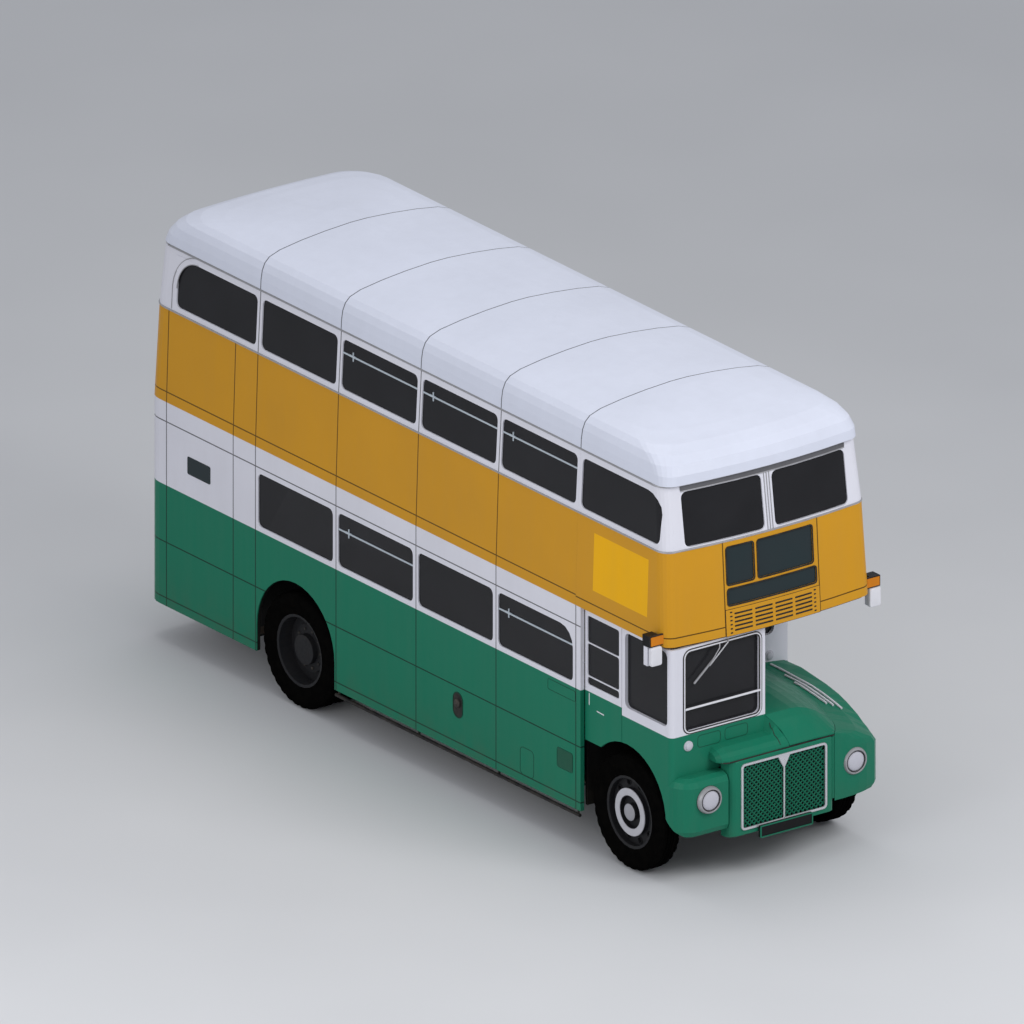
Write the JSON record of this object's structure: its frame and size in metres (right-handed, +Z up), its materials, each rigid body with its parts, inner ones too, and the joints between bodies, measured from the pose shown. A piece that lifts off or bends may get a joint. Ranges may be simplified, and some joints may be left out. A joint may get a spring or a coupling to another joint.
{
  "type": "double decker bus",
  "caption": "Half-cab front-engined double decker bus with open rear platform, hollow glazed decks, steered front wheels, sliding cab door, hinged bonnet and rear emergency window.",
  "frame": {"origin": "on the ground under the middle of the bounding box", "axes": "+Z up, the front faces -Y, the driver's side is -X"},
  "size_m": [2.7142, 8.58, 4.476],
  "materials": {
    "livery_green": "gloss",
    "livery_orange": "gloss",
    "livery_white": "gloss",
    "black_paint": "matt",
    "window_glass": "polished",
    "tyre_rubber": "matt",
    "dark_steel": "painted",
    "bright_trim": "satin",
    "slatted_floor": "varnished",
    "alloy_tread": "ribbed",
    "seat_cloth": "woven",
    "lamp_lens": "polished",
    "amber_lens": "ribbed"
  },
  "bodies": {
    "body": {"lower_wall_right": "livery_green", "lower_wall_left": "livery_green", "lower_wall_rear": "livery_green", "front_bulkhead": "livery_white", "lower_floor": "slatted_floor", "upper_floor": "slatted_floor", "upper_wall_right": "livery_orange", "upper_wall_left": "livery_orange", "upper_wall_front": "livery_orange", "upper_wall_rear": "livery_orange", "roof": "livery_white", "staircase": "alloy_tread", "cab_shell": "livery_white", "cab_floor": "black_paint", "driver_seat": "seat_cloth", "steering_wheel": "black_paint", "wing_left": "livery_green", "wing_right": "livery_green", "grille_shell": "livery_green", "radiator_grille": "bright_trim", "number_plate": "black_paint", "headlamp_right": "lamp_lens", "headlamp_left": "lamp_lens", "mirror_right": "livery_white", "mirror_left": "livery_white", "glass_upper_right": "window_glass", "glass_upper_left": "window_glass", "glass_upper_front": "window_glass", "glass_lower_right": "window_glass", "glass_lower_left": "window_glass", "glass_cab": "window_glass", "glass_bulkhead": "window_glass", "seats_lower_left": "seat_cloth", "seats_lower_right": "seat_cloth", "seats_upper_left": "seat_cloth", "seats_upper_right": "seat_cloth", "platform_pole": "livery_white", "front_subframe": "dark_steel", "rear_subframe": "dark_steel", "engine_block": "dark_steel", "propshaft": "dark_steel", "fuel_tank": "dark_steel", "front_axle": "dark_steel", "rear_axle": "dark_steel"},
    "cab_door": {"cab_door": "livery_green"},
    "bonnet": {"bonnet": "livery_green"},
    "emergency_window": {"emergency_window": "window_glass"},
    "knuckle_right": {"knuckle_right": "dark_steel"},
    "knuckle_left": {"knuckle_left": "dark_steel"},
    "front_wheel_right": {"wheel_front_right": "dark_steel", "tyre_front_right": "tyre_rubber"},
    "front_wheel_left": {"wheel_front_left": "dark_steel", "tyre_front_left": "tyre_rubber"},
    "rear_wheels_right": {"wheel_rear_right": "dark_steel", "tyre_rear_right_outer": "tyre_rubber", "tyre_rear_right_inner": "tyre_rubber"},
    "rear_wheels_left": {"wheel_rear_left": "dark_steel", "tyre_rear_left_outer": "tyre_rubber", "tyre_rear_left_inner": "tyre_rubber"}
  },
  "joints": [
    {"name": "steer_right", "type": "hinge", "parent": "body", "child": "knuckle_right", "pos_m": [-0.93, -3.33, 0.57], "axis": [0, 0, 1], "range_deg": [-35, 35]},
    {"name": "steer_left", "type": "hinge", "parent": "body", "child": "knuckle_left", "pos_m": [0.93, -3.33, 0.57], "axis": [0, 0, 1], "range_deg": [-35, 35]},
    {"name": "front_wheel_right_spin", "type": "hinge", "parent": "knuckle_right", "child": "front_wheel_right", "pos_m": [-1.0485, -3.33, 0.57], "axis": [1, 0, 0], "continuous": true},
    {"name": "front_wheel_left_spin", "type": "hinge", "parent": "knuckle_left", "child": "front_wheel_left", "pos_m": [1.0485, -3.33, 0.57], "axis": [1, 0, 0], "continuous": true},
    {"name": "rear_wheels_right_spin", "type": "hinge", "parent": "body", "child": "rear_wheels_right", "pos_m": [-1.0825, 1.87, 0.57], "axis": [1, 0, 0], "continuous": true},
    {"name": "rear_wheels_left_spin", "type": "hinge", "parent": "body", "child": "rear_wheels_left", "pos_m": [1.0825, 1.87, 0.57], "axis": [1, 0, 0], "continuous": true},
    {"name": "cab_door_slide", "type": "slide", "parent": "body", "child": "cab_door", "axis": [0, 1, 0], "range_m": [0, 0.5]},
    {"name": "bonnet_hinge", "type": "hinge", "parent": "body", "child": "bonnet", "pos_m": [-0.0597, -3.33, 1.56], "axis": [0, -1, 0], "range_deg": [0, 75]},
    {"name": "emergency_window_hinge", "type": "hinge", "parent": "body", "child": "emergency_window", "pos_m": [0, 4.1848, 3.9597], "axis": [1, 0, 0], "range_deg": [0, 60]}
  ],
  "couplings": [
    {"joint": "steer_left", "follows": "steer_right", "ratio": 1}
  ]
}
